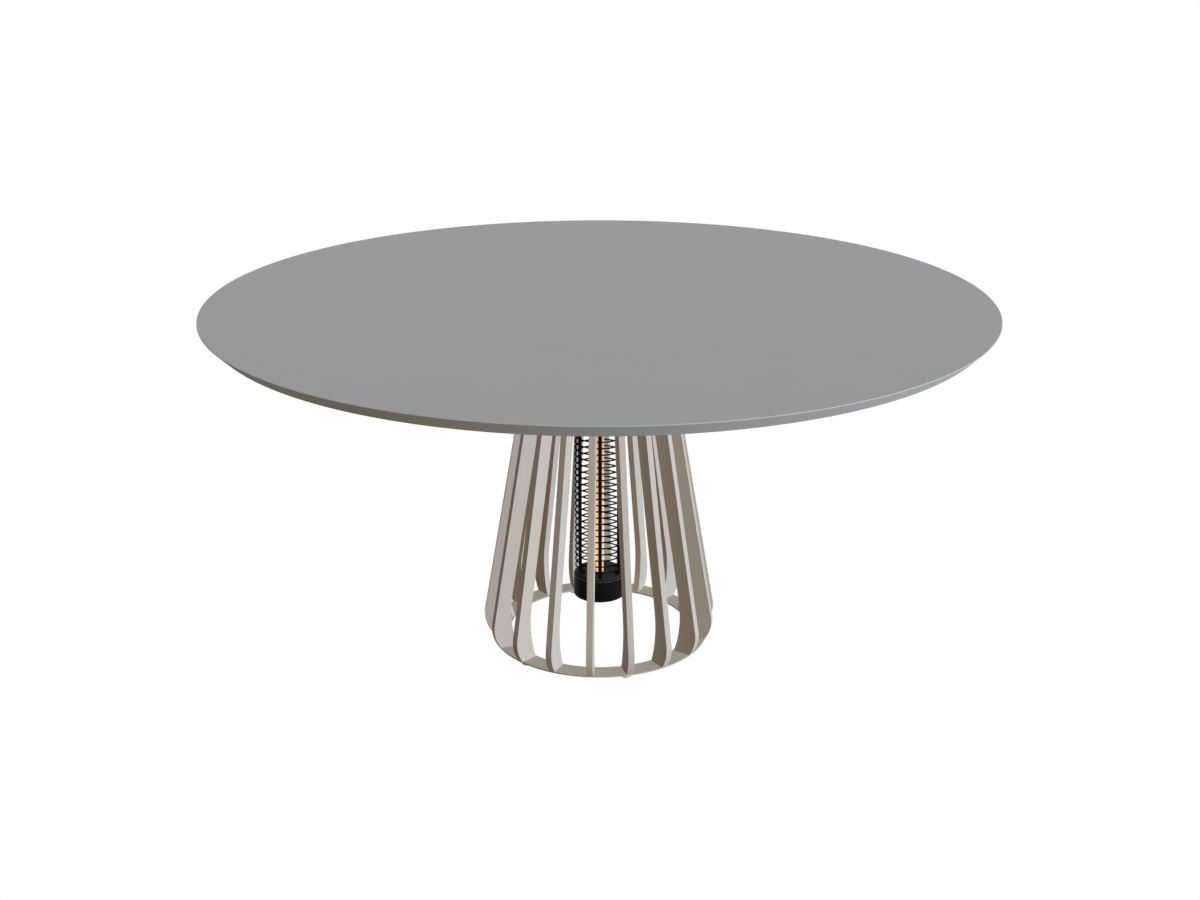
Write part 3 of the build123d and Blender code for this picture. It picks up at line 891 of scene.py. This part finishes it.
def button_head(radius, base):
    """Domed head with a round drive socket, turned, that hangs down from its base."""
    tall = BUTTON_H
    socket, crown = 0.42 * radius, 0.62 * radius
    floor, brim = 0.45 * tall, 0.3 * tall
    socket_edge, crown_edge, brim_edge = 0.08 * tall, 0.5 * tall, 0.15 * tall
    section = rounded([
        (HEAD_POLE_R, floor, 0),
        (socket, floor, 0),
        (socket, tall, socket_edge),
        (crown, tall, crown_edge),
        (radius, brim, brim_edge),
        (radius, 0.0, 0),
        (HEAD_POLE_R, 0.0, 0),
    ], steps=4)
    return turned(section * [1, -1] + [0, base], BUTTON_COLUMNS)


def screw_set(name, bearings, radius, skins, node):
    """One screw's skins, each with the way its ends close, repeated at each bearing on a circle."""
    parts = [shell(placed(rows, radius, bearing), ends=ends) for bearing in bearings for rows, ends in skins]
    piece(name, parts, "table", zinc, [node])


bolt_head = hexagon_block(BOLT_FLATS, PLATE_Z - BOLT_HEAD_H, PLATE_Z - BOLT_HEAD_TOP, BOLT_CHAMFER)
bolt_washer = washer(WASHER_R, WASHER_BORE_R, PLATE_Z - WASHER_T, WASHER_T)
bolt_rod = threaded_rod(BOLT_R, PLATE_Z - BOLT_SINK, BOLT_TOP_Z, BOLT_PITCH, BOLT_THREAD)
bolt = [(bolt_head, "points"), (bolt_washer, "wrap"), (bolt_rod, "points")]
screw_set("top_bolts", TOP_SCREW_BEARINGS, TOP_SCREW_CIRCLE_R, bolt, "top_screws")

drum_rod = threaded_rod(
    DRUM_SCREW_R, LOWER_Z - BUTTON_SINK, DRUM_SCREW_TOP_Z, DRUM_SCREW_PITCH, DRUM_SCREW_THREAD,
)
drum_screw = [(button_head(DRUM_SCREW_HEAD_R, LOWER_Z), "points"), (drum_rod, "points")]
screw_set("drum_buttons", BOSS_BEARINGS, BOSS_CIRCLE_R, drum_screw, "drum_screws")

hang_rod = threaded_rod(
    HANG_SCREW_R, CAGE_TOP_Z - BUTTON_SINK, HANG_SCREW_TOP_Z, HANG_SCREW_PITCH, HANG_SCREW_THREAD,
)
hang_screw = [(button_head(HANG_SCREW_HEAD_R, CAGE_TOP_Z), "points"), (hang_rod, "points")]
screw_set("hang_buttons", BOSS_BEARINGS, BOSS_CIRCLE_R, hang_screw, "heater_screws")


# Stage, light and camera
def looked_at(tree):
    """1 where the camera, a reflection or a glass looks, and 0 for light that bounces."""
    path = add(tree, "ShaderNodeLightPath").outputs
    straight = maths(tree, "MAXIMUM", path["Is Camera Ray"], path["Is Glossy Ray"])
    return maths(tree, "MAXIMUM", straight, path["Is Transmission Ray"])


def floor_finish():
    """White floor to the camera, with a lit share near the table, and clear from below.

    Light that bounces sees it tan, and warms the object from underneath.
    """
    made, tree, skin = new_material("studio_floor")
    tree.nodes.remove(skin)
    seen = looked_at(tree)
    away = add(tree, "ShaderNodeVectorMath", {0: place_on(tree)}, operation="LENGTH").outputs["Value"]
    fade = soft_step(tree, away, (FLOOR_NEAR, FLOOR_FAR), (FLOOR_NEAR_WHITE, 1.0))
    share = maths(tree, "MULTIPLY", seen, fade)
    pale = add(tree, "ShaderNodeMix", {0: seen, 6: FLOOR_BOUNCE, 7: WHITE}, data_type="RGBA").outputs[2]
    lit = add(tree, "ShaderNodeBsdfDiffuse", {"Color": pale}).outputs[0]
    white = add(tree, "ShaderNodeEmission", {"Color": WHITE, "Strength": 1.0}).outputs[0]
    mixed = add(tree, "ShaderNodeMixShader", {0: share, 1: lit, 2: white}).outputs[0]
    below = add(tree, "ShaderNodeNewGeometry").outputs["Backfacing"]
    clear = add(tree, "ShaderNodeBsdfTransparent").outputs[0]
    both = add(tree, "ShaderNodeMixShader", {0: below, 1: mixed, 2: clear}).outputs[0]
    tree.links.new(both, tree.nodes["Material Output"].inputs["Surface"])
    return made


def lay_floor():
    """Wide flat square under the table."""
    mesh = bpy.data.meshes.new("studio_floor")
    corners = [(x * FLOOR_REACH, y * FLOOR_REACH, 0) for x, y in ((-1, -1), (1, -1), (1, 1), (-1, 1))]
    mesh.from_pydata(corners, [], [(0, 1, 2, 3)])
    mesh.materials.append(floor_finish())
    studio_floor = bpy.data.objects.new("studio_floor", mesh)
    scene.collection.objects.link(studio_floor)


def studio_world():
    """Soft warm fill for the object, plain white where the camera, a reflection or a glass looks."""
    world = bpy.data.worlds.new("studio")
    scene.world = world
    world.use_nodes = True
    tree = world.node_tree
    tree.nodes.clear()
    fill = add(tree, "ShaderNodeBackground", {"Color": WORLD_FILL, "Strength": WORLD_LEVEL}).outputs[0]
    white = add(tree, "ShaderNodeBackground", {"Color": WHITE, "Strength": 1.0}).outputs[0]
    mixed = add(tree, "ShaderNodeMixShader", {0: looked_at(tree), 1: fill, 2: white}).outputs[0]
    add(tree, "ShaderNodeOutputWorld", {"Surface": mixed})


def far_lamp(name, bearing, height, level, color, spread=30, shadow=False):
    """Distant lamp from a bearing (degrees right of the front) and a height above the horizon.

    level is the share of its own colour that a white surface square to the lamp sends back.
    """
    lamp = bpy.data.lights.new(name, "SUN")
    lamp.energy = level * pi
    lamp.color = color
    lamp.angle = radians(spread)
    lamp.use_shadow = shadow
    made = bpy.data.objects.new(name, lamp)
    scene.collection.objects.link(made)
    made.rotation_euler = (radians(90 - height), 0, radians(bearing))


def photo_eye():
    """Camera at the photograph's viewing angle."""
    eye = bpy.data.cameras.new("photo_eye")
    eye.sensor_width = EYE_SENSOR
    eye.sensor_fit = "HORIZONTAL"
    eye.lens = EYE_LENS
    eye.clip_end = EYE_FAR
    made = bpy.data.objects.new("photo_eye", eye)
    scene.collection.objects.link(made)
    made.location = EYE
    made.rotation_euler = (radians(90 - EYE_DOWN), 0, 0)
    return made


lay_floor()
studio_world()
far_lamp("key_right", bearing=70, height=10, level=1.48, color=(0.895, 0.938, 0.975))
far_lamp("key_near", bearing=50, height=10, level=0.66, color=(0.477, 0.691, 0.975))
far_lamp("fill_front", bearing=8, height=10, level=0.32, color=(1.0, 0.65, 0.32))
far_lamp("fill_above", bearing=0, height=85, level=0.69, color=(0.90, 0.915, 1.0))
far_lamp("fill_below", bearing=0, height=-75, level=0.11, color=(0.6, 0.82, 1.0))
far_lamp("fill_back", bearing=-170, height=-5, level=0.60, color=(1.0, 0.907, 0.80), spread=10)
far_lamp("sky_above", bearing=20, height=80, level=0.03, color=(1.0, 1.0, 1.0), spread=60, shadow=True)
scene.camera = photo_eye()
scene.view_settings.view_transform = "Standard"
